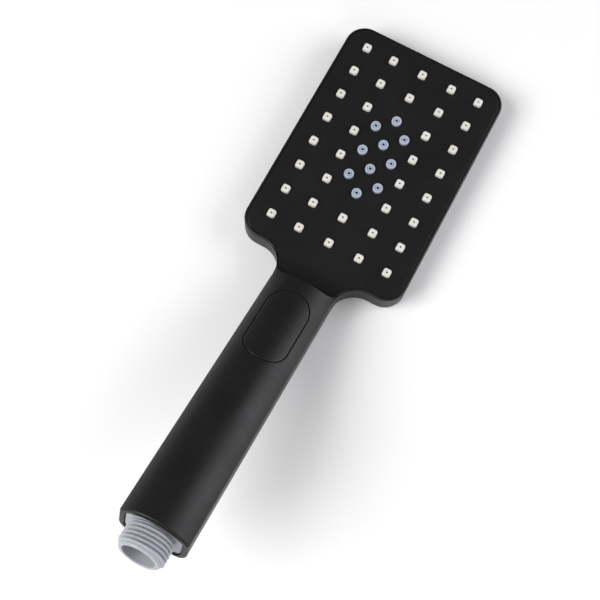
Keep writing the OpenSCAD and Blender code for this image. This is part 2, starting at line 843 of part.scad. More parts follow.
// Grey water tube with its collar and the threaded end
module inlet_tube() {
  color([0.63, 0.64, 0.66]) difference() {
    union() {
      on_tube_axis() {
        rotate_extrude() thread_profile();
        translate([0, 0, shoulder_u - 4]) cylinder(r = inlet_r + tube_wall, h = handle_l - shoulder_u + 5);
        translate([0, 0, socket_u + socket_l + 1]) cylinder(r = tube_r, h = shoulder_u - socket_u - socket_l);
        translate([0, 0, socket_u + 2]) cylinder(r = spigot_r, h = socket_l + 1);
      }
      handle_bar(wall + plug_gap, handle_l - collar_sink - collar_t, handle_l - collar_sink);
    }
    on_tube_axis() {
      translate([0, 0, socket_u]) cylinder(r = bore_r, h = tip_u);
      translate([0, 0, shoulder_u]) cylinder(r = inlet_r, h = tip_u);
      for (u = tube_ring_us) translate([0, 0, u]) difference() {
        cylinder(r = tube_r + 1, h = 1.4, center = true);
        cylinder(r = spigot_r - 0.9, h = 2, center = true);
      }
    }
  }
}

// Two rings that seal the tube in the valve's socket
module tube_o_rings() {
  color([0.08, 0.08, 0.08]) on_tube_axis() for (u = tube_ring_us)
    translate([0, 0, u]) o_ring(spigot_r - 0.43, 0.46);
}

// ---- Check valve ---------------------------------------------------------------------

// Sleeve with the seat at its inlet end and a guide at its outlet end
module check_valve_body() {
  color([0.85, 0.85, 0.83]) on_tube_axis() difference() {
    translate([0, 0, valve_u]) cylinder(r = valve_r, h = valve_len);
    translate([0, 0, valve_u + guide_t]) cylinder(r = sleeve_r, h = valve_len - seat_t - guide_t);
    translate([0, 0, valve_u + 1]) cylinder(r = seat_r, h = valve_len);
    translate([0, 0, valve_u - 1]) cylinder(r = poppet_stem + run_gap, h = 5);
    for (a = [45:90:315]) rotate(a) translate([(sleeve_r + poppet_stem) / 2, 0, valve_u - 1]) cylinder(r = 1, h = 4);
    translate([0, 0, valve_u + valve_len / 2]) difference() {
      cylinder(r = valve_r + 1, h = 1.4, center = true);
      cylinder(r = valve_r - 0.9, h = 2, center = true);
    }
  }
}

// Ring that seals the check valve in the inlet bore
module check_valve_o_ring() {
  color([0.08, 0.08, 0.08]) on_tube_axis() translate([0, 0, valve_u + valve_len / 2])
    o_ring(valve_r - 0.42, 0.47);
}

// Mushroom that water lifts off its seat
module check_valve_poppet() {
  color([0.9, 0.9, 0.88]) on_tube_axis() {
    translate([0, 0, poppet_face - seal_t - poppet_t]) cylinder(r = poppet_r, h = poppet_t);
    translate([0, 0, valve_u - 0.5]) cylinder(r = poppet_stem, h = poppet_face - valve_u - seal_t - 0.5);
  }
}

// Rubber disc on the poppet's face
module poppet_seal() {
  color([0.08, 0.08, 0.08]) on_tube_axis() translate([0, 0, poppet_face - seal_t]) cylinder(r = poppet_r - 0.2, h = seal_t);
}

// Spring that closes the check valve
module check_valve_spring() {
  color([0.7, 0.7, 0.72]) on_tube_axis() translate([0, 0, valve_u + guide_t])
    coil(2.6, valve_wire, poppet_face - seal_t - poppet_t - valve_u - guide_t, valve_turns);
}

// Disc with small holes that limits the flow
module flow_restrictor() {
  color([0.25, 0.45, 0.3]) on_tube_axis() translate([0, 0, restrictor_u]) difference() {
    cylinder(r = inlet_r - plug_gap, h = restrictor_t);
    translate([0, 0, 1]) cylinder(r = inlet_r - 1.4, h = 5);
    for (a = [0:60:300]) rotate(a) translate([3, 0, -1]) cylinder(r = 0.8, h = 5);
  }
}

// Rubber-rimmed strainer that keeps grit out
module inlet_filter() {
  color([0.5, 0.5, 0.52]) on_tube_axis() translate([0, 0, filter_u]) difference() {
    cylinder(r = inlet_r - plug_gap, h = filter_t);
    translate([0, 0, 0.5]) cylinder(r = inlet_r - 1.2, h = 5);
    for (ring = [1:3]) for (i = [0:6 * ring - 1]) rotate(60 * i / ring) translate([1.5 * ring, 0, -1])
      cylinder(r = 0.45, h = 5);
  }
}

outer_shell();
spray_face();
rain_nozzle_mat();
jet_nozzle_mat();
distributor_plate();
chamber_gasket();
chamber_floor();
chamber_screws();
neck_duct();
duct_gaskets();
valve_housing();
port_seals();
diverter_rotor();
valve_cap();
valve_cap_seal();
valve_cap_screws();
stem_o_ring();
button_plunger();
return_spring();
button_cap();
inlet_tube();
tube_o_rings();
check_valve_body();
check_valve_o_ring();
check_valve_poppet();
poppet_seal();
check_valve_spring();
flow_restrictor();
inlet_filter();
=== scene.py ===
import json
import math

import bpy
import numpy as np
from mathutils import Matrix, Vector


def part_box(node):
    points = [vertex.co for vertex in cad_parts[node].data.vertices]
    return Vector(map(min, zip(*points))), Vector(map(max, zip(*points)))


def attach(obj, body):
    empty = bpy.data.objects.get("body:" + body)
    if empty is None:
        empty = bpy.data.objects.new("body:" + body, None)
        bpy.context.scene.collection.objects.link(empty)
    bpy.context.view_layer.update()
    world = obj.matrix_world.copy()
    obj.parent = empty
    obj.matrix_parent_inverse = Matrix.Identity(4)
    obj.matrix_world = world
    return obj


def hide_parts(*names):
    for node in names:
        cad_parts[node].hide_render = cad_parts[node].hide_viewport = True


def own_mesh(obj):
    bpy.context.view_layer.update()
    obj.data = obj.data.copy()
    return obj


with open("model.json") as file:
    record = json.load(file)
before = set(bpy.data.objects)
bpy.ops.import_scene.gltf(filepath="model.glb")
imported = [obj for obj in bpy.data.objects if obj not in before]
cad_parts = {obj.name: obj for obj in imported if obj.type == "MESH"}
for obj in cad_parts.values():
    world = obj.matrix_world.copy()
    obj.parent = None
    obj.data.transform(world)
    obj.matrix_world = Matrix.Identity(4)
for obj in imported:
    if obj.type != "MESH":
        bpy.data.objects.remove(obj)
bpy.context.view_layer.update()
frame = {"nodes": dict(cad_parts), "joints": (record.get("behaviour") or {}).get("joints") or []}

# ---- Outer shell ---------------------------------------------------------------------
# The back of the head and the handle are one moulding in black ABS with a matte soft-touch
# lacquer: a shallow tray with concave neck fillets that runs into a hollow D-section bar.
# The spray face clips into its front, the button drops into the pill-shaped opening.

MM = 0.001
joints = {joint["name"]: joint for joint in frame["joints"]}
press_axis = Vector(joints["button_press"]["axis"])
SIN_TILT = -press_axis.y
COS_TILT = -press_axis.z
shell_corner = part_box("outer_shell")[1]
head_half, top_y = shell_corner.x / MM, shell_corner.y / MM
head_l = 122
low_y = top_y - head_l
head_t = 14
corner_r = 10
neck_r = 12.5
neck_step = 0.02
handle_half = 15.4
handle_l = 139
handle_t = 24.8
crown_r = 19
back_r = 6
head_back_r = 2.2
rim_r = 0.9
shell_wall = 2.6
back_wall = 2.4
scoop_r = 10
bend_y = low_y - neck_r
ridge_step = 0.25
ridge_y = bend_y + ridge_step
scoop_y = ridge_y + scoop_r
scoop_z = head_t + scoop_r
crown_w = handle_t - crown_r
arc_count = 25
neck_half = handle_half + neck_step


def handle_point(x, u, w):
    """Row-frame point x across the handle, u along it from the bend and w out from its back."""
    y = bend_y - u * COS_TILT + w * SIN_TILT
    z = u * SIN_TILT + w * COS_TILT
    return np.stack(np.broadcast_arrays(x, y, z), axis=-1)


def arc(centre, radius, start, end, count):
    """Points on a circle from one angle to the other, in degrees, both ends included."""
    angle = np.radians(np.linspace(start, end, count))
    return np.stack([centre[0] + radius * np.cos(angle), centre[1] + radius * np.sin(angle)], axis=1)


def smoothstep(value, low, high):
    """0 below low, 1 above high, and a smooth cubic between them."""
    t = np.clip((value - low) / (high - low), 0, 1)
    return t * t * (3 - 2 * t)


def lofted(rings):
    """Closed body of rings (count, points, 3): each ring joins the next, and flat caps end it."""
    rings = np.array(rings)
    count, points = rings.shape[:2]
    here = np.arange((count - 1) * points).reshape(count - 1, points)
    beside = np.roll(here, -1, axis=1)
    walls = np.stack([here, beside, beside + points, here + points], axis=-1).reshape(-1, 4)
    last = (count - 1) * points + np.arange(points)
    return rings.reshape(-1, 3), [walls, last[None, :], np.arange(points)[::-1][None, :]]


def swept(rings):
    """Closed body of rings whose last ring joins the first, like a tube bent into a loop."""
    rings = np.array(rings)
    count, points = rings.shape[:2]
    here = np.arange(count * points).reshape(count, points)
    beside = np.roll(here, -1, axis=1)
    ahead = np.roll(here, -1, axis=0)
    across = np.roll(ahead, -1, axis=1)
    return rings.reshape(-1, 3), [np.stack([here, beside, across, ahead], axis=-1).reshape(-1, 4)]


def outward(points, blocks):
    """Turns every face over when the signed volume, the sum of fan tetrahedra, is negative."""
    middle = points.mean(axis=0)
    volume = 0.0
    for block in blocks:
        fan = points[block] - middle
        for corner in range(1, block.shape[1] - 1):
            cross = np.cross(fan[:, corner], fan[:, corner + 1])
            volume += np.einsum("ij,ij->i", fan[:, 0], cross).sum()
    return [block[:, ::-1] for block in blocks] if volume < 0 else blocks


def mesh_body(name, bodies):
    """Object of closed bodies, given in millimetres as (points, face blocks) pairs."""
    points, starts, corners, base = [], [], [], 0
    for body_points, blocks in bodies:
        for block in outward(body_points, blocks):
            corners.append((block + base).ravel())
            starts.append(np.full(len(block), block.shape[1]))
        points.append(body_points)
        base += len(body_points)
    points, corners, totals = np.concatenate(points), np.concatenate(corners), np.concatenate(starts)
    mesh = bpy.data.meshes.new(name)
    mesh.vertices.add(len(points))
    mesh.vertices.foreach_set("co", (points * MM).ravel())
    mesh.loops.add(len(corners))
    mesh.loops.foreach_set("vertex_index", corners.astype(np.int32))
    mesh.polygons.add(len(totals))
    mesh.polygons.foreach_set("loop_start", (np.cumsum(totals) - totals).astype(np.int32))
    mesh.polygons.foreach_set("loop_total", totals.astype(np.int32))
    mesh.update(calc_edges=True)
    piece = bpy.data.objects.new(name, mesh)
    bpy.context.scene.collection.objects.link(piece)
    return piece


def carve(piece, operation, bodies):
    """Joins piece with closed bodies (UNION) or cuts them out of it (DIFFERENCE).

    bodies is a list of (points, face blocks) pairs, or an object that is used up.
    """
    tool = bodies if isinstance(bodies, bpy.types.Object) else mesh_body("tool", bodies)
    step = piece.modifiers.new("step", "BOOLEAN")
    step.operation = operation
    step.solver = "MANIFOLD"
    step.object = tool
    seen = piece.evaluated_get(bpy.context.evaluated_depsgraph_get())
    result = bpy.data.meshes.new_from_object(seen)
    piece.modifiers.clear()
    old = piece.data
    piece.data = result
    bpy.data.meshes.remove(old)
    bpy.data.meshes.remove(tool.data)


def finish_piece(piece, material, body, nodes, crease=32):
    """Shades a piece smooth up to its creases, gives it its material, hangs it on its body and hides the CAD
    nodes it replaces.
    """
    piece.data.materials.clear()
    piece.data.materials.append(material)
    piece.data.shade_smooth()
    piece.data.set_sharp_from_angle(angle=math.radians(crease))
    evener = piece.modifiers.new("even_normals", "WEIGHTED_NORMAL")
    evener.mode = "FACE_AREA"
    evener.keep_sharp = True
    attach(piece, body)
    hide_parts(*nodes)


def plan_outline():
    """Head and neck seen from the front, anticlockwise: points and outward unit normals."""
    corner_x = head_half - corner_r
    fillet_x = neck_half + neck_r
    low_corner, high_corner = low_y + corner_r, top_y - corner_r
    stretches = [
        ((fillet_x, bend_y), neck_r, 180, 90, -1),
        ((corner_x, low_corner), corner_r, -90, 0, 1),
        ((corner_x, high_corner), corner_r, 0, 90, 1),
        ((-corner_x, high_corner), corner_r, 90, 180, 1),
        ((-corner_x, low_corner), corner_r, 180, 270, 1),
        ((-fillet_x, bend_y), neck_r, 90, 0, -1),
    ]
    points, normals = [], []
    for centre, radius, start, end, side in stretches:
        points.append(arc(centre, radius, start, end, arc_count))
        normals.append(side * (points[-1] - centre) / radius)
    return np.concatenate(points), np.concatenate(normals)


def tray_body():
    """The outline drawn in by a fillet's inset at each height: back fillet, wall, front fillet."""
    flat_ring = 0.6
    points, normals = plan_outline()
    fillet = head_back_r + (back_r - head_back_r) * smoothstep(-points[:, 1], -low_y, -bend_y)
    rings = []
    for turn in np.radians(np.linspace(90, 0, 12)):
        rings.append((fillet * (1 - math.cos(turn)), fillet * (1 - math.sin(turn))))
    rings.insert(0, (fillet + flat_ring, 0 * fillet))
    for turn in np.radians(np.linspace(0, 90, 8)):
        high = head_t - rim_r * (1 - math.sin(turn))
        rings.append((rim_r * (1 - math.cos(turn)) + 0 * fillet, high + 0 * fillet))
    return lofted([
        np.column_stack([points - normals * inset[:, None], height]) for inset, height in rings
    ])


def neck_half_width(y, inset):
    """Half the plan's width at y, drawn in by inset: neck fillet, lower corner, side, top corner."""
    fillet_x = neck_half + neck_r
    wide = head_half - inset
    radius = corner_r - inset
    fillet = neck_r + inset
    into_neck = fillet_x - np.sqrt(np.clip(fillet**2 - (y - bend_y) ** 2, 0, None))
    low_turn = wide - radius + np.sqrt(np.clip(radius**2 - (low_y + corner_r - y) ** 2, 0, None))
    high_turn = wide - radius + np.sqrt(np.clip(radius**2 - (y - top_y + corner_r) ** 2, 0, None))
    half = np.where(y < low_y + inset, into_neck, wide)
    half = np.where((y >= low_y + inset) & (y < low_y + corner_r), low_turn, half)
    return np.where(y > top_y - corner_r, high_turn, half)


def crown_height(x, inset=0.0):
    """Height w of the handle's crowned front over its back: an arc that ends at its flat sides."""
    across = np.clip(np.abs(x), 0, handle_half - inset)
    return crown_w + np.sqrt((crown_r - inset) ** 2 - across**2)


def scoop_height(y):
    """Height z of the spray face: flat, then a quarter circle that rises to the ridge."""
    into = np.clip(scoop_y - y, 0, scoop_r)
    return scoop_z - np.sqrt(scoop_r**2 - into**2)


def neck_block():
    """Sides of the neck over the tray: boxes along y, up to just above the scoop or the crown's edge."""
    over_scoop = 0.4
    y = np.linspace(low_y - 1, bend_y, 48)
    half = neck_half_width(y, -neck_step)
    edge_w = crown_height(handle_half)
    edge_z = (edge_w - (y - bend_y) * SIN_TILT) / COS_TILT
    high = np.minimum(scoop_height(y) + over_scoop, edge_z - neck_step)
    low = np.full_like(y, head_t / 2)
    rings = [np.stack([sx * half, y, z], axis=1) for sx, z in ((-1, low), (1, low), (1, high), (-1, high))]
    return lofted(np.stack(rings, axis=1))


def handle_section(inset):
    """The D-section as (x, w) points: flat back, round corners, flat sides, softened crown."""
    side = handle_half - inset
    radius = back_r - inset
    corner = np.array([side, crown_w + math.sqrt((crown_r - inset) ** 2 - side**2)])
    edge = math.degrees(math.atan2(corner[1] - crown_w, side))
    soften, edge_drop = 2.4, 0.8
    crown = arc((0, crown_w), crown_r - inset, edge + soften, 180 - edge - soften, 97)
    t = np.linspace(0, 1, 7)[:-1, None]
    below = corner - np.array([0, edge_drop])
    round_in = (1 - t) ** 2 * below + 2 * t * (1 - t) * corner + t**2 * crown[0]
    mirror = np.array([-1, 1])
    half = np.concatenate([arc((side - radius, inset + radius), radius, -90, 0, 13), round_in])
    return np.concatenate([half, crown, (half * mirror)[::-1]])


def handle_body(inset, stations, floor):
    """The D-section carried along the handle at (u, further inset) stations, kept above z = floor."""
    rings = []
    for u, further in stations:
        section = handle_section(inset + further)
        ring = handle_point(section[:, 0], u, section[:, 1])
        ring[:, 2] = np.maximum(ring[:, 2], floor)
        rings.append(ring)
    return lofted(rings)


def scoop_tool():
    """Everything in front of the spray face: its side profile carried across the head."""
    curve = arc((scoop_y, scoop_z), scoop_r, 180, 270, 41)
    reach = 2 * head_half
    profile = np.concatenate([
        [[ridge_y, reach]], curve, [[top_y + reach, head_t]], [[top_y + reach, reach]]
    ])
    rings = [np.column_stack([np.full(len(profile), x), profile]) for x in (-reach, reach)]
    return lofted(rings)


def plate_body(inset, over, under, lip, chamfer=0.0):
    """The spray face as a bent plate: from over its surface to under it, drawn in by inset.

    Rows run down the head and then round the scoop by an angle that ends, for each x, where
    the surface is lip below the handle's crown. Each row is a box with chamfered front edges.
    """
    turn_radius, first_gap, rows = corner_r - inset, 0.05, 40
    high_turn = arc((0, top_y - corner_r), turn_radius, 90, 0, 19)[:, 1]
    low_turn = arc((0, low_y + corner_r), turn_radius, 0, -90, 19)[:, 1]
    fillet_turn = bend_y + (neck_r + inset) * np.cos(np.radians(np.linspace(1, 34, 10)))
    flat_y = np.concatenate([high_turn, low_turn, fillet_turn[fillet_turn > scoop_y + first_gap]])
    spread = np.concatenate([[-1, -0.985], np.linspace(-0.96, 0.96, 49), [0.985, 1]])
    angle = np.linspace(0, 90, 721)
    path_y = scoop_y - scoop_r * np.sin(np.radians(angle))
    path_z = scoop_z - scoop_r * np.cos(np.radians(angle))
    climb = np.linspace(0, 6, 121)[1:]
    angle = np.concatenate([angle, np.full(len(climb), 90.0)])
    path_y = np.concatenate([path_y, np.full(len(climb), ridge_y)])
    path_z = np.concatenate([path_z, scoop_z + climb])
    path_w = np.maximum.accumulate((path_y - bend_y) * SIN_TILT + path_z * COS_TILT)
    last = np.full(len(spread), len(path_y) - 1)
    for _ in range(24):
        edge = spread * neck_half_width(path_y[last], inset)
        last = np.minimum(np.searchsorted(path_w, crown_height(edge) - lip), len(path_y) - 1)
    rings = []
    for y in flat_y:
        half = neck_half_width(np.array([y]), inset)[0]
        rings.append((spread * half, np.full_like(spread, y), np.full_like(spread, head_t), 0 * spread))
    for row in range(rows + 1):
        step = last * row / rows
        y = np.interp(step, np.arange(len(path_y)), path_y)
        z = np.interp(step, np.arange(len(path_z)), path_z)
        x = spread * neck_half_width(y, inset)
        rings.append((x, y, z, np.radians(np.interp(step, np.arange(len(angle)), angle))))
    body = []
    for index, (x, y, z, lean) in enumerate(rings):
        sunk = np.zeros_like(x)
        sunk[[0, -1]] = chamfer
        if index == 0:
            sunk[:] = chamfer
        front = np.stack([x, y + (over - sunk) * np.sin(lean), z + (over - sunk) * np.cos(lean)], axis=1)
        back = np.stack([x, y - under * np.sin(lean), z - under * np.cos(lean)], axis=1)
        body.append(np.concatenate([front, back[::-1]]))
    return lofted(body)


def pill(grow, inset=0.0):
    """The button's outline as (x, along) points about its middle, grown or drawn in."""
    over = grow - inset
    radius = button_r + over
    x, along = button_w / 2 + over - radius, button_l / 2 + over - radius
    corners = ((x, along, 0), (-x, along, 90), (-x, -along, 180), (x, -along, 270))
    return np.concatenate([arc((cx, cy), radius, start, start + 90, arc_count) for cx, cy, start in corners])


def pill_ring(grow, height, follow=False):
    """The pill at height w, or at height over the crown's surface where it follows it."""
    outline = pill(max(grow, 0), max(-grow, 0))
    w = crown_height(outline[:, 0]) + height if follow else np.full(len(outline), height)
    return handle_point(outline[:, 0], button_u - outline[:, 1], w)


def surface_group():
    """Fine grain and slow mottling of a moulded surface, from the piece's object coordinates.

    Colour is the tone times 1 + shift * (mottle + grain / 2), roughness is gloss + shift * mottle,
    and height is grain + 0.6 * the distance to the nearest pit.
    """
    pit_share, speckle_share = 0.6, 0.5
    group = bpy.data.node_groups.new("moulded_surface", "ShaderNodeTree")
    sockets = (
        ("Position", "INPUT", "Vector"), ("Grain Scale", "INPUT", "Float"),
        ("Mottle Scale", "INPUT", "Float"), ("Tone", "INPUT", "Color"),
        ("Tone Shift", "INPUT", "Float"), ("Gloss", "INPUT", "Float"),
        ("Gloss Shift", "INPUT", "Float"), ("Colour", "OUTPUT", "Color"),
        ("Roughness", "OUTPUT", "Float"), ("Height", "OUTPUT", "Float"),
    )
    for name, way, kind in sockets:
        group.interface.new_socket(name, in_out=way, socket_type="NodeSocket" + kind)
    nodes, links = group.nodes, group.links
    given, result = nodes.new("NodeGroupInput"), nodes.new("NodeGroupOutput")
    grain, mottle = nodes.new("ShaderNodeTexNoise"), nodes.new("ShaderNodeTexNoise")
    grain.inputs["Detail"].default_value = 3
    mottle.inputs["Detail"].default_value = 5
    mottle.inputs["Roughness"].default_value = 0.6
    for texture, scale in ((grain, "Grain Scale"), (mottle, "Mottle Scale")):
        links.new(given.outputs["Position"], texture.inputs["Vector"])
        links.new(given.outputs[scale], texture.inputs["Scale"])
    pit = nodes.new("ShaderNodeTexVoronoi")
    pit.feature = "SMOOTH_F1"
    links.new(given.outputs["Position"], pit.inputs["Vector"])
    links.new(given.outputs["Grain Scale"], pit.inputs["Scale"])
    height = nodes.new("ShaderNodeMath")
    height.operation = "MULTIPLY_ADD"
    height.inputs[1].default_value = pit_share
    links.new(pit.outputs["Distance"], height.inputs[0])
    links.new(grain.outputs["Fac"], height.inputs[2])
    links.new(height.outputs[0], result.inputs["Height"])
    swing = nodes.new("ShaderNodeMapRange")
    for limit, value in (("From Min", 0.3), ("From Max", 0.7), ("To Min", -1), ("To Max", 1)):
        swing.inputs[limit].default_value = value
    links.new(mottle.outputs["Fac"], swing.inputs["Value"])
    rough = nodes.new("ShaderNodeMath")
    rough.operation = "MULTIPLY_ADD"
    links.new(swing.outputs["Result"], rough.inputs[0])
    links.new(given.outputs["Gloss Shift"], rough.inputs[1])
    links.new(given.outputs["Gloss"], rough.inputs[2])
    links.new(rough.outputs[0], result.inputs["Roughness"])
    speckle = nodes.new("ShaderNodeMath")
    speckle.operation = "MULTIPLY_ADD"
    speckle.inputs[1].default_value = speckle_share
    links.new(grain.outputs["Fac"], speckle.inputs[0])
    links.new(swing.outputs["Result"], speckle.inputs[2])
    bright = nodes.new("ShaderNodeMath")
    bright.operation = "MULTIPLY_ADD"
    bright.inputs[2].default_value = 1
    links.new(speckle.outputs[0], bright.inputs[0])
    links.new(given.outputs["Tone Shift"], bright.inputs[1])
    shade = nodes.new("ShaderNodeHueSaturation")
    links.new(bright.outputs[0], shade.inputs["Value"])
    links.new(given.outputs["Tone"], shade.inputs["Color"])
    links.new(shade.outputs["Color"], result.inputs["Colour"])
    return group


moulded_surface = surface_group()
mottle_scale = 60
bump_strength = 0.5


def moulded(name, tone, gloss, grain_mm, bump_mm, tone_shift=0.08, gloss_shift=0.04):
    """Material of a moulded surface: the shared surface group drives its colour, gloss and bump."""
    material = bpy.data.materials.new(name)
    material.use_nodes = True
    nodes, links = material.node_tree.nodes, material.node_tree.links
    shader = nodes["Principled BSDF"]
    place, surface = nodes.new("ShaderNodeTexCoord"), nodes.new("ShaderNodeGroup")
    bump = nodes.new("ShaderNodeBump")
    surface.node_tree = moulded_surface
    links.new(place.outputs["Object"], surface.inputs["Position"])
    surface.inputs["Grain Scale"].default_value = 1 / (grain_mm * MM)
    surface.inputs["Mottle Scale"].default_value = mottle_scale
    surface.inputs["Tone"].default_value = (*tone, 1)
    surface.inputs["Tone Shift"].default_value = tone_shift
    surface.inputs["Gloss"].default_value = gloss
    surface.inputs["Gloss Shift"].default_value = gloss_shift
    bump.inputs["Distance"].default_value = bump_mm * MM
    bump.inputs["Strength"].default_value = bump_strength
    links.new(surface.outputs["Height"], bump.inputs["Height"])
    links.new(surface.outputs["Colour"], shader.inputs["Base Color"])
    links.new(surface.outputs["Roughness"], shader.inputs["Roughness"])
    links.new(bump.outputs["Normal"], shader.inputs["Normal"])
    return material


button_w = 20.4
button_l = 38.4
button_r = 9.2
button_u = 35.4
panel_gap = 0.2
plate_t = 2.5
rim_w = 1.2
lip_r = 1.0
cavity_round = 0.5
bar_start = -14
hollow_start = -16
cut_over = 3.0

soft_touch = moulded("soft_touch_black", (0.0056, 0.0056, 0.0062), 0.44, 0.22, 0.02)
soft_touch.node_tree.nodes["Principled BSDF"].inputs["Specular IOR Level"].default_value = 0.28

shell = mesh_body("shell", [tray_body()])
carve(shell, "UNION", [neck_block()])
lip_turns = np.radians(np.linspace(0, 90, 9))
bar_ends = [(handle_l - lip_r + lip_r * math.sin(t), lip_r * (1 - math.cos(t))) for t in lip_turns]
bar_stations = [(bar_start, 0), (20, 0), (60, 0), (100, 0), *bar_ends]
carve(shell, "UNION", [handle_body(0.0, bar_stations, neck_step)])
carve(shell, "DIFFERENCE", [scoop_tool()])
carve(shell, "DIFFERENCE", [plate_body(rim_w, cut_over, plate_t, rim_w)])

# The cavity follows the head's four corners only: the outline's two neck fillets are left out.
head_corners = slice(arc_count, 5 * arc_count)
corner_points, corner_normals = (part[head_corners] for part in plan_outline())
cavity_rings = [
    np.column_stack([corner_points - corner_normals * (shell_wall + inset), np.full(4 * arc_count, z)])
    for inset, z in ((1.0, back_wall), (0.3, back_wall + 0.3), (0, back_wall + 1.0), (0, 3 * head_t))
]
carve(shell, "DIFFERENCE", [lofted(cavity_rings)])
hollow_ends = [(handle_l - cavity_round, 0), (handle_l - 0.15, -0.15), (handle_l + 0.1, -cavity_round)]
carve(shell, "DIFFERENCE", [handle_body(shell_wall, [(hollow_start, 0), *hollow_ends], back_wall)])
opening = [
    pill_ring(panel_gap, crown_w), pill_ring(panel_gap, -0.35, True),
    pill_ring(panel_gap + 0.12, -0.08, True), pill_ring(panel_gap + 0.4, 0.1, True),
    pill_ring(panel_gap + 0.4, handle_t + 5),
]
carve(shell, "DIFFERENCE", [lofted(opening)])
finish_piece(shell, soft_touch, "handset", ["outer_shell"])

# ---- Spray face ----------------------------------------------------------------------
# Front plate in the same lacquered ABS, bent up at its lower end to meet the handle's
# crown. Clips on its long sides hold it in the tray, and each nozzle comes through a hole.

side_margin, top_margin = 11.6, 10.8
inner_share, jet_share = 0.52, 0.487
field_x = head_half - side_margin
inner_x = inner_share * field_x
row_count = 8
row_pitch = 2 * (top_y - top_margin) / (row_count - 1)
jet_x = jet_share * inner_x
rain_half = 2.0
rain_corner = 1.0
jet_r = 2.45
hole_gap = 0.15
hole_bevel = 0.2
edge_bevel = 0.22
clip_t, clip_w = 0.9, 8
clip_low, clip_high = 7.5, 12.5
clip_share = 0.62
rain_rows = np.arange(row_count) - (row_count - 1) / 2
rain_points = np.array(
    [(x, row * row_pitch) for x in (-field_x, -inner_x, inner_x, field_x) for row in rain_rows]
    + [(0, row * row_pitch) for row in rain_rows[[0, 1, 6, 7]]]
)
jet_points = np.array(
    [(0, row * row_pitch) for row in (-1.5, -0.5, 0.5, 1.5)]
    + [(x, row * row_pitch) for x in (-jet_x, jet_x) for row in (-1, 0, 1)]
)


def square_ring(half, corner, height, count=8):
    """Rounded square of that half side and corner radius, as a flat ring at z = height."""
    flat = half - corner
    middles = ((flat, flat), (-flat, flat), (-flat, -flat), (flat, -flat))
    ring = np.concatenate([
        arc(middle, corner, 90 * turn, 90 * turn + 90, count) for turn, middle in enumerate(middles)
    ])
    return np.column_stack([ring, np.full(len(ring), height)])


def round_ring(radius, height, count=32):
    """Circle about the Z axis as a flat ring at z = height."""
    ring = arc((0, 0), radius, 0, 360 * (1 - 1 / count), count)
    return np.column_stack([ring, np.full(count, height)])


def repeated(rings, places, form=lofted):
    """One closed body of these rings at each place (x, y) of the plan."""
    return [form(np.array(rings) + np.array([x, y, 0])) for x, y in places]


def hole_rings(ring):
    """Rings of a hole's tool: straight up through the plate, then wider by the bevel at its surface.

    ring gives the nozzle's outline grown by its first number, at the height of its second.
    """
    wide = hole_gap + hole_bevel
    return [
        ring(hole_gap, 0), ring(hole_gap, head_t - 0.15), ring(wide, head_t + 0.05), ring(wide, 2 * head_t)
    ]


def box_body(middle, half):
    """Box about its middle with those half sizes, as two rings across Y."""
    corners = np.array([(-1, -1), (1, -1), (1, 1), (-1, 1)])
    ends = [np.column_stack([corners[:, 0], np.full(4, end), corners[:, 1]]) for end in (-1, 1)]
    return lofted(np.array(middle) + np.array(half) * np.array(ends))


face_inset = rim_w + panel_gap
face = mesh_body("face_plate", [plate_body(face_inset, 0.0, plate_t - panel_gap, face_inset, edge_bevel)])
rain_hole = hole_rings(lambda grow, z: square_ring(rain_half + grow, rain_corner + grow, z))
jet_hole = hole_rings(lambda grow, z: round_ring(jet_r + grow, z))
carve(face, "DIFFERENCE", repeated(rain_hole, rain_points))
carve(face, "DIFFERENCE", repeated(jet_hole, jet_points))
clip_x = head_half - shell_wall - panel_gap - clip_t / 2
clip_y = clip_share * rain_rows[-1] * row_pitch
clip_z = (clip_low + clip_high) / 2
carve(face, "UNION", [
    box_body((side * clip_x, y, clip_z), (clip_t / 2, clip_w / 2, clip_high - clip_z))
    for side in (-1, 1) for y in (-clip_y, 0, clip_y)
])
finish_piece(face, soft_touch, "handset", ["spray_face"])

# ---- Rain nozzles --------------------------------------------------------------------
# One white silicone sheet lies behind the spray face, moulded with 36 soft square nozzles
# that stand proud of it, each with a fine bore. It is clamped round its edge.

mat_t = 1.2
mat_over = head_t - plate_t
mat_under = mat_over - mat_t
mat_inset = 4.2
island_gap = 0.3
screw_hole_r = 2.4
nozzle_top = head_t + 1.7
bore_r = 0.42
bore_base_r = 1.1
draft = 0.12
top_round, corner_round = 0.6, 0.5


def silicone(name, tone, grain_mm):
    """Material of moulded silicone: the surface group, with light scattering just under the skin."""
    gloss, bump_mm, shift = 0.42, 0.012, 0.05
    material = moulded(name, tone, gloss, grain_mm, bump_mm, shift, shift)
    shader = material.node_tree.nodes["Principled BSDF"]
    shader.inputs["Subsurface Weight"].default_value = 0.15
    shader.inputs["Subsurface Radius"].default_value = (1.0, 0.9, 0.8)
    shader.inputs["Subsurface Scale"].default_value = 0.0008
    return material


def square_nozzle():
    """Wall up from the sheet with a slight draft, rounded top edge, dished top, then a widening bore."""
    rings = [square_ring(rain_half, rain_corner, mat_under), square_ring(rain_half, rain_corner, head_t)]
    around = np.arctan2(rings[0][:, 1], rings[0][:, 0])
    for turn in np.radians(np.linspace(0, 90, 7)):
        rings.append(square_ring(
            rain_half - draft - top_round * (1 - math.cos(turn)),
            rain_corner - corner_round * (1 - math.cos(turn)),
            nozzle_top - top_round * (1 - math.sin(turn)),
        ))
    mouth = ((bore_r + 0.3, 0.03), (bore_r + 0.08, 0.1), (bore_r, 0.6), (bore_base_r, nozzle_top - mat_under))
    for radius, depth in mouth:
        rings.append(np.column_stack([
            radius * np.cos(around), radius * np.sin(around), np.full(len(around), nozzle_top - depth)
        ]))
    return rings


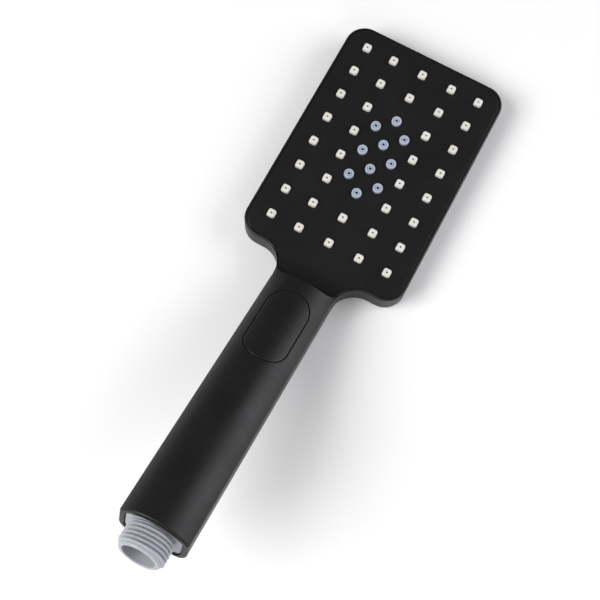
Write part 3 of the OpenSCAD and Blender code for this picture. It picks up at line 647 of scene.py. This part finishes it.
def sheet_rings(half_x, low, high, corner, under, over):
    """Flat sheet from under to over: a rectangle from low to high with round corners."""
    x = half_x - corner
    top, foot = high - corner, low + corner
    corners = ((x, top, 0), (-x, top, 90), (-x, foot, 180), (x, foot, 270))
    ring = np.concatenate([arc((cx, cy), corner, start, start + 90, 13) for cx, cy, start in corners])
    return [np.column_stack([ring, np.full(len(ring), z)]) for z in (under, over)]


island_r = 6
island_half_x = jet_x + jet_r + 0.8
island_half_y = 1.5 * row_pitch + jet_r + 1.5
screw_points = [(x * (inner_x + field_x) / 2, y * 3 * row_pitch) for x in (-1, 1) for y in (-1, 1)]
white_silicone = silicone("white_silicone", (0.66, 0.64, 0.6), 0.35)
rain_mat = mesh_body("rain_nozzles", [lofted(sheet_rings(
    head_half - mat_inset, low_y + mat_inset, top_y - mat_inset, corner_r - mat_inset, mat_under, mat_over
))])
gap_y = island_half_y + island_gap
carve(rain_mat, "DIFFERENCE", [lofted(sheet_rings(
    island_half_x + island_gap, -gap_y, gap_y, island_r + island_gap, mat_under - 1, mat_over + 1
))])
plug = [square_ring(rain_half - 0.3, rain_corner - 0.3, height) for height in (mat_under - 1, mat_under + 3)]
carve(rain_mat, "DIFFERENCE", repeated(plug, rain_points))
screw_hole = [round_ring(screw_hole_r, mat_under - 1), round_ring(screw_hole_r, head_t)]
carve(rain_mat, "DIFFERENCE", repeated(screw_hole, screw_points))
carve(rain_mat, "UNION", repeated(square_nozzle(), rain_points, swept))
finish_piece(rain_mat, white_silicone, "handset", ["rain_nozzle_mat"])

# ---- Jet nozzles ---------------------------------------------------------------------
# Ten round nozzles of blue-grey silicone on an island sheet of their own, fed by a separate
# channel. Each has a ring groove round its bore, so that it can be rubbed clean.


def round_nozzle():
    """Profile turned about the nozzle's axis: wall, rounded edge, groove, boss and widening bore."""
    top = nozzle_top - 0.2
    profile = [(jet_r, mat_under), (jet_r - 0.03, head_t)]
    profile += [tuple(p) for p in arc((jet_r - 0.5, top - 0.45), 0.45, 0, 90, 7)]
    profile += [(1.7, top), (1.6, top - 0.06), (1.5, top - 0.34), (1.3, top - 0.42), (1.12, top - 0.34),
                (1.06, top - 0.06), (1.0, top), (0.78, top), (0.7, top - 0.05), (0.66, top - 0.2),
                (0.64, top - 0.5), (1.3, mat_under)]
    return [round_ring(radius, height) for radius, height in profile]


blue_silicone = silicone("blue_silicone", (0.37, 0.415, 0.505), 0.35)
jet_mat = mesh_body("jet_nozzles", [lofted(sheet_rings(
    island_half_x, -island_half_y, island_half_y, island_r, mat_under, mat_over
))])
round_plug = [round_ring(jet_r - 0.4, mat_under - 1), round_ring(jet_r - 0.4, head_t)]
carve(jet_mat, "DIFFERENCE", repeated(round_plug, jet_points))
carve(jet_mat, "UNION", repeated(round_nozzle(), jet_points, swept))
finish_piece(jet_mat, blue_silicone, "handset", ["jet_nozzle_mat"])

# ---- Water chamber, duct and valve ---------------------------------------------------
# Natural ABS mouldings behind the spray face and in the handle, screwed and plugged
# together: chamber, twin duct, valve body and lid, with nitrile seals and steel screws.


def dress(material, *names):
    """Gives CAD pieces whose shape stays as it is their finished material."""
    for name in names:
        for holder in frame["nodes"][name].material_slots:
            holder.material = material


def metal(name, tone, gloss, grain_mm):
    """Material of drawn steel wire or a screw: the surface group on a metallic shader."""
    bump_mm, tone_shift, gloss_shift = 0.004, 0.06, 0.08
    material = moulded(name, tone, gloss, grain_mm, bump_mm, tone_shift, gloss_shift)
    material.node_tree.nodes["Principled BSDF"].inputs["Metallic"].default_value = 1
    return material


inner_abs = moulded("natural_abs", (0.42, 0.44, 0.47), 0.46, 0.5, 0.015)
seal_rubber = moulded("nitrile_rubber", (0.018, 0.018, 0.019), 0.62, 0.3, 0.01)
acetal = moulded("white_acetal", (0.78, 0.78, 0.74), 0.36, 0.4, 0.008, 0.04)
spring_steel = metal("spring_steel", (0.56, 0.56, 0.57), 0.28, 0.12)
dress(inner_abs, "distributor_plate", "chamber_floor", "neck_duct", "valve_housing", "valve_cap")
dress(seal_rubber, "chamber_gasket", "duct_gaskets", "port_seals", "valve_cap_seal", "stem_o_ring",
      "tube_o_rings", "check_valve_o_ring", "poppet_seal")
dress(acetal, "diverter_rotor", "button_plunger", "check_valve_body", "check_valve_poppet")
dress(spring_steel, "chamber_screws", "valve_cap_screws")

# ---- Button and its spring -----------------------------------------------------------
# A pill-shaped cap in lacquered ABS that follows the handle's crown. It sits on the
# plunger's stem over a steel spring, and each press turns the port disc under it.

button_skirt = 19.1
button_wall = 1.5
button_top_t = 2.0
boss_r, stem_hole_r = 4, 2.56
boss_low, boss_high = button_skirt + 1.6, handle_t - button_top_t + 0.6
hole_high = handle_t - 2.7
edge_r = 0.5


def button_rings():
    """Rings from the middle of the underside out, down round the skirt, up the wall and in over the top."""
    deep = button_r - 0.1
    under = [pill_ring(-inset, -button_top_t, True) for inset in (deep, 6, 4, 2.5, button_wall)]
    skirt = [pill_ring(-button_wall, button_skirt), pill_ring(0, button_skirt)]
    edge = [
        pill_ring(-edge_r * (1 - math.cos(turn)), -edge_r * (1 - math.sin(turn)), True)
        for turn in np.radians(np.linspace(0, 90, 8))
    ]
    top = [pill_ring(-inset, 0, True) for inset in (0.8, 1.6, 2.6, 3.8, 5, 6.2, 7.4, 8.4, deep)]
    return under + skirt + edge + top


def about_button(radius, w, count=48):
    """Circle about the button's axis at height w over the handle's back."""
    ring = arc((0, 0), radius, 0, 360 * (1 - 1 / count), count)
    return handle_point(ring[:, 0], button_u - ring[:, 1], np.full(count, w))


button = mesh_body("button", [lofted(button_rings())])
boss = [about_button(boss_r, w) for w in (boss_low, boss_high)]
stem_hole = [about_button(stem_hole_r, w) for w in (button_skirt, hole_high)]
carve(button, "UNION", [lofted(boss)])
carve(button, "DIFFERENCE", [lofted(stem_hole)])
finish_piece(button, soft_touch, "button", ["button_cap"])


closed_turns = 0.75


def wound(name, radius, wire, turns, place):
    """Round wire wound on a helix with flat closed ends: a circle of wire carried round and up.

    place turns (x, y, height share from 0 to 1, wire's own rise) into row-frame points.
    """
    along = np.linspace(0, 1, int(turns * 36) + 1)
    round_wire = np.radians(np.arange(0, 360, 30))
    closing = closed_turns / turns
    rise = np.clip((along - closing) / (1 - 2 * closing), 0, 1)
    angle = 2 * math.pi * turns * along[:, None]
    reach, lift = radius + wire * np.cos(round_wire)[None, :], wire * np.sin(round_wire)[None, :]
    return mesh_body(name, [lofted(place(reach * np.cos(angle), reach * np.sin(angle), rise[:, None], lift))])


def spring_finish(piece, node):
    """Finishes a spring in steel with a wider crease angle, and gives it a mesh of its own."""
    finish_piece(piece, spring_steel, "handset", [node], crease=60)
    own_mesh(piece)


spring_low, spring_high = 16.7, 21.6
spring_r, wire_r, coil_turns = 5.7, 0.3, 4.5


def along_button(x, y, rise, offset):
    """Spring coordinates to the row frame, between the valve's lid and the button."""
    w = spring_low + wire_r + rise * (spring_high - spring_low - 2 * wire_r) + offset
    return handle_point(x, button_u - y, w)


return_spring = wound("button_spring", spring_r, wire_r, coil_turns, along_button)
spring_foot = handle_point(0.0, button_u, spring_low) * MM
spring_finish(return_spring, "return_spring")

# ---- Inlet ---------------------------------------------------------------------------
# Light grey ABS tube: a D-shaped collar closes the handle's end, and a G1/2 thread stands
# out of it for the hose. The check valve, restrictor and strainer sit in its bore.

axis_w = handle_t / 2
thread_reach, socket_deep = 11, 26
tip_u = handle_l + thread_reach
thread_r = 10.4775
thread_pitch = 1.8143
thread_depth = 1.16
root_r = thread_r - thread_depth
inlet_r = 7.3
water_r = 4.5
shoulder_u = tip_u - socket_deep
collar_sink, collar_t = 0.6, 5
collar_top = handle_l - collar_sink
collar_round = 0.4
collar_bore_r = 8
spigot_u = 57.8
spigot_r, tube_r, sleeve_r = 6, 7, 8.55
tube_turns = np.radians(np.arange(0, 360, 2.5))


def tube_ring(radius, u):
    """Ring about the tube's axis, u along the handle, with one radius or one for each point."""
    return handle_point(radius * np.cos(tube_turns), u, axis_w + radius * np.sin(tube_turns))


def tube_body():
    """Profile turned about the tube's axis as a closed loop, whose radius swings along the thread.

    The thread is a rounded ridge whose phase is length over pitch less the turn, faded at both ends.
    """
    thread_u = np.linspace(handle_l - 0.2, tip_u - 1.1, 84)
    thread_end = tip_u - 1.2
    phase = (thread_u[:, None] / thread_pitch - tube_turns[None, :] / (2 * math.pi)) % 1
    ridge = smoothstep(1 - np.abs(2 * phase - 1), 0.1, 0.8)
    fade = smoothstep(thread_u, handle_l, handle_l + 1.2)
    fade *= 1 - smoothstep(thread_u, thread_end - 0.7, thread_end)
    threaded = root_r + thread_depth * ridge * fade[:, None]
    before = [(water_r, spigot_u), (spigot_r - 0.4, spigot_u), (spigot_r, spigot_u + 0.4),
              (spigot_r, 72.5), (tube_r, 73.5), (tube_r, shoulder_u - 4),
              (sleeve_r, shoulder_u - 4), (sleeve_r, collar_top - 1), (root_r, collar_top - 1)]
    after = [(root_r, tip_u - 0.7), (root_r - 0.1, tip_u - 0.4), (root_r - 0.45, tip_u - 0.08),
             (root_r - 0.6, tip_u), (inlet_r + 0.5, tip_u), (inlet_r + 0.15, tip_u - 0.1),
             (inlet_r, tip_u - 0.4), (inlet_r, shoulder_u), (water_r, shoulder_u)]
    return swept([tube_ring(radius, u) for radius, u in [*before, *zip(threaded, thread_u), *after]])


grey_abs = moulded("light_grey_abs", (0.345, 0.357, 0.387), 0.38, 0.45, 0.01, 0.05, 0.05)
inlet = mesh_body("inlet", [tube_body()])
collar_inset = shell_wall + 0.1
collar_edge = [
    (collar_top - collar_round * (1 - math.sin(t)), collar_round * (1 - math.cos(t)))
    for t in np.radians(np.linspace(0, 90, 6))
]
collar = mesh_body("collar", [handle_body(collar_inset, [(collar_top - collar_t, 0), *collar_edge], 0)])
collar_bore = [tube_ring(collar_bore_r, u) for u in (collar_top - 8, handle_l + 1)]
carve(collar, "DIFFERENCE", [lofted(collar_bore)])
carve(inlet, "UNION", collar)
finish_piece(inlet, grey_abs, "handset", ["inlet_tube"])

valve_foot, valve_head = shoulder_u + 2.2, shoulder_u + 7.87
valve_spring_r, valve_wire = 2.6, 0.22


def along_tube(x, y, rise, offset):
    """Spring coordinates to the row frame, between the check valve's guide and its poppet."""
    u = valve_foot + valve_wire + rise * (valve_head - valve_foot - 2 * valve_wire) + offset
    return handle_point(x, u, axis_w + y)


check_spring = wound("valve_spring", valve_spring_r, valve_wire, coil_turns, along_tube)
spring_seat = handle_point(0.0, valve_foot, axis_w) * MM
spring_finish(check_spring, "check_valve_spring")

restrictor_green = moulded("restrictor_plastic", (0.05, 0.19, 0.09), 0.4, 0.4, 0.008)
filter_grey = moulded("filter_plastic", (0.2, 0.2, 0.22), 0.5, 0.4, 0.008)
dress(restrictor_green, "flow_restrictor")
dress(filter_grey, "inlet_filter")

# ---- Floor, light and camera ---------------------------------------------------------
# The head lies on its flat back on a pale floor, in an even white room, between a large soft
# light low on the camera's right, a smaller one on its left and a weak one in front.

pale = bpy.data.materials.new("pale_floor")
pale.use_nodes = True
pale_shader = pale.node_tree.nodes["Principled BSDF"]
pale_shader.inputs["Base Color"].default_value = (0.9, 0.9, 0.9, 1)
pale_shader.inputs["Roughness"].default_value = 0.9
pale_shader.inputs["Specular IOR Level"].default_value = 0.1
floor_half = 8.0
floor_grid = np.array([(-1, -1, 0), (1, -1, 0), (-1, 1, 0), (1, 1, 0)]) * floor_half
floor_mesh = bpy.data.meshes.new("studio_floor")
floor_mesh.from_pydata(floor_grid.tolist(), [], [(0, 1, 3, 2)])
floor_mesh.materials.append(pale)
studio_floor = bpy.data.objects.new("studio_floor", floor_mesh)
bpy.context.scene.collection.objects.link(studio_floor)

room = bpy.data.worlds.new("studio_room")
room.use_nodes = True
room_light = room.node_tree.nodes["Background"]
room_light.inputs["Color"].default_value = (1, 1, 1, 1)
room_light.inputs["Strength"].default_value = 0.24
bpy.context.scene.world = room


def soft_light(name, place, target, size, power, tone):
    """Square area light of that size in metres at place, turned to face target."""
    lamp = bpy.data.lights.new(name, "AREA")
    lamp.size = size
    lamp.energy = power
    lamp.color = tone
    holder = bpy.data.objects.new(name, lamp)
    holder.location = place
    holder.rotation_mode = "QUATERNION"
    holder.rotation_quaternion = (Vector(target) - Vector(place)).to_track_quat("-Z", "Y")
    bpy.context.scene.collection.objects.link(holder)


middle = (0, -0.07, 0.03)
soft_light("key_light", (0.95, 0.45, 0.45), middle, 1.0, 11, (0.97, 0.95, 1.0))
soft_light("fill_light", (-0.75, -0.8, 1.0), middle, 0.9, 21, (1, 1, 1))
soft_light("front_light", (0.6, -1.1, 0.7), middle, 0.8, 4, (1, 1, 1))

turn, lift, roll = math.radians(22.4117), math.radians(75.0523), math.radians(6.0341)
back = np.array([math.sin(turn) * math.cos(lift), -math.cos(turn) * math.cos(lift), math.sin(lift)])
right = np.array([math.cos(turn), math.sin(turn), 0])
up = np.cross(back, right)
camera_x = right * math.cos(roll) + up * math.sin(roll)
camera_y = up * math.cos(roll) - right * math.sin(roll)
camera = bpy.data.objects.new("camera", bpy.data.cameras.new("camera"))
camera_place = np.array([46.9, -190.6, 462.9]) * MM
camera.data.lens = 60.66
camera.data.sensor_width = 36
camera.data.clip_start = 0.01
camera_frame = np.eye(4)
camera_frame[:3] = np.stack([camera_x, camera_y, back, camera_place], axis=1)
camera.matrix_world = Matrix(camera_frame)
bpy.context.scene.collection.objects.link(camera)
bpy.context.scene.camera = camera
bpy.context.scene.view_settings.view_transform = "Standard"
